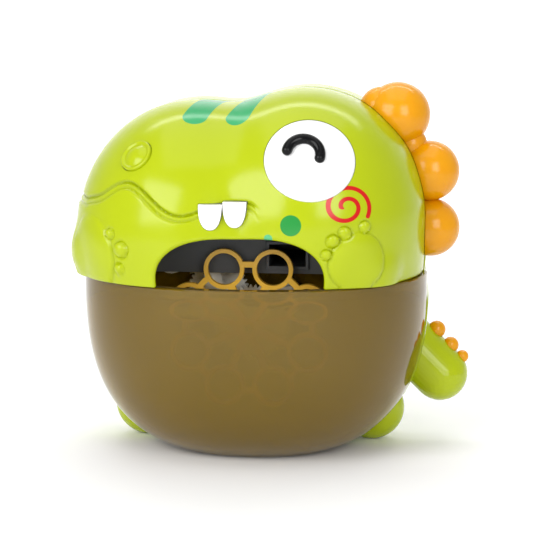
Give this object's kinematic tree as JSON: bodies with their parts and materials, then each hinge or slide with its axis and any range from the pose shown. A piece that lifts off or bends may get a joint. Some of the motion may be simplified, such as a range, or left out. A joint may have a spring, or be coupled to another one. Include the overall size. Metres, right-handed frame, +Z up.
{
  "type": "bubble machine",
  "caption": "Battery bath bubble machine in a plump green dinosaur shape, with a geared bubble wheel, a fan, a lift-off clear tank, a push button and suction cups.",
  "frame": {"origin": "centre of the flat base of the tank, on the surface that the machine stands on", "axes": "+Z up, +Y towards the wall that the suction cups grip, +X to the side with the crest and tail"},
  "size_m": [0.21, 0.126, 0.1963],
  "materials": {
    "green_plastic": "high gloss injection-moulded ABS",
    "orange_plastic": "high gloss injection-moulded ABS",
    "smoky_clear": "transparent brown tinted polycarbonate",
    "white_gloss": "high gloss white ABS",
    "black_gloss": "high gloss black ABS",
    "grey_abs": "plain dark grey ABS",
    "natural_pom": "natural acetal gears",
    "amber_pp": "yellow polypropylene",
    "steel": "bright steel",
    "brass": "sintered bronze",
    "pcb_green": "printed circuit board",
    "switch_black": "black switch plastic",
    "fan_blue": "blue polypropylene",
    "cone_paper": "coated speaker cone",
    "cell_wrap": "printed film round the cell",
    "seal_rubber": "black nitrile rubber",
    "cup_clear": "clear PVC suction cup",
    "lead_red": "PVC insulation",
    "lead_black": "PVC insulation",
    "lead_white": "PVC insulation"
  },
  "bodies": {
    "tank": {"tank": "smoky_clear"},
    "machine": {"head_shell": "green_plastic", "back_shell": "green_plastic", "chassis_plate": "grey_abs", "crest": "orange_plastic", "tail": "green_plastic", "tail_spikes": "orange_plastic", "foot_left": "green_plastic", "foot_right": "green_plastic", "eye_white": "white_gloss", "eye_arch": "black_gloss", "teeth": "white_gloss", "button_board": "pcb_green", "tact_switch": "switch_black", "gear_frame_rear": "natural_pom", "gear_frame_front": "natural_pom", "frame_screws": "steel", "motor_can": "steel", "motor_end_cap": "natural_pom", "gear_pins": "steel", "shaft_bushes": "brass", "fan_housing": "grey_abs", "air_duct": "grey_abs", "splash_guard": "grey_abs", "speaker_frame": "steel", "speaker_cone": "cone_paper", "main_board": "pcb_green", "battery_tray": "grey_abs", "cell_1": "cell_wrap", "cell_2": "cell_wrap", "cell_3": "cell_wrap", "battery_contacts": "steel", "suction_cup_1": "cup_clear", "suction_cup_2": "cup_clear", "suction_cup_3": "cup_clear", "suction_cup_4": "cup_clear", "shell_screws": "steel", "chassis_screws": "steel", "motor_lead": "lead_red", "speaker_lead": "lead_black", "battery_lead": "lead_red", "button_lead": "lead_white"},
    "nose_button": {"nose_button": "green_plastic", "button_seal": "seal_rubber"},
    "motor_rotor": {"motor_shaft": "steel", "motor_pinion": "natural_pom", "impeller": "fan_blue"},
    "first_gear": {"first_gear": "natural_pom"},
    "second_gear": {"second_gear": "natural_pom"},
    "bubble_wheel": {"bubble_wheel": "amber_pp", "wheel_gear": "natural_pom", "wheel_shaft": "steel", "shaft_clip": "steel"},
    "battery_door": {"battery_door": "green_plastic", "door_seal": "seal_rubber", "door_screws": "steel"}
  },
  "joints": [
    {"name": "machine_lift", "type": "slide", "parent": "tank", "child": "machine", "axis": [0, 0, 1], "range_m": [0, 0.085]},
    {"name": "nose_button_press", "type": "slide", "parent": "machine", "child": "nose_button", "axis": [0.4175, 0.681, -0.6015], "range_m": [0, 0.0016], "stiffness_N_per_m": 700, "springref_m": -0.001},
    {"name": "wheel_spin", "type": "hinge", "parent": "machine", "child": "bubble_wheel", "pos_m": [0, 0.018, 0.07], "axis": [0, 1, 0], "continuous": true},
    {"name": "second_gear_spin", "type": "hinge", "parent": "machine", "child": "second_gear", "pos_m": [-0.0187, 0.018, 0.08505], "axis": [0, 1, 0], "continuous": true},
    {"name": "first_gear_spin", "type": "hinge", "parent": "machine", "child": "first_gear", "pos_m": [-0.02239, 0.018, 0.10552], "axis": [0, 1, 0], "continuous": true},
    {"name": "motor_spin", "type": "hinge", "parent": "machine", "child": "motor_rotor", "pos_m": [-0.026, 0.018, 0.126], "axis": [0, 1, 0], "continuous": true},
    {"name": "battery_door_off", "type": "slide", "parent": "machine", "child": "battery_door", "axis": [0, 1, 0], "range_m": [0, 0.03]}
  ],
  "couplings": [
    {"joint": "first_gear_spin", "follows": "motor_spin", "ratio": -0.3},
    {"joint": "second_gear_spin", "follows": "motor_spin", "ratio": 0.09},
    {"joint": "wheel_spin", "follows": "motor_spin", "ratio": -0.0225}
  ]
}
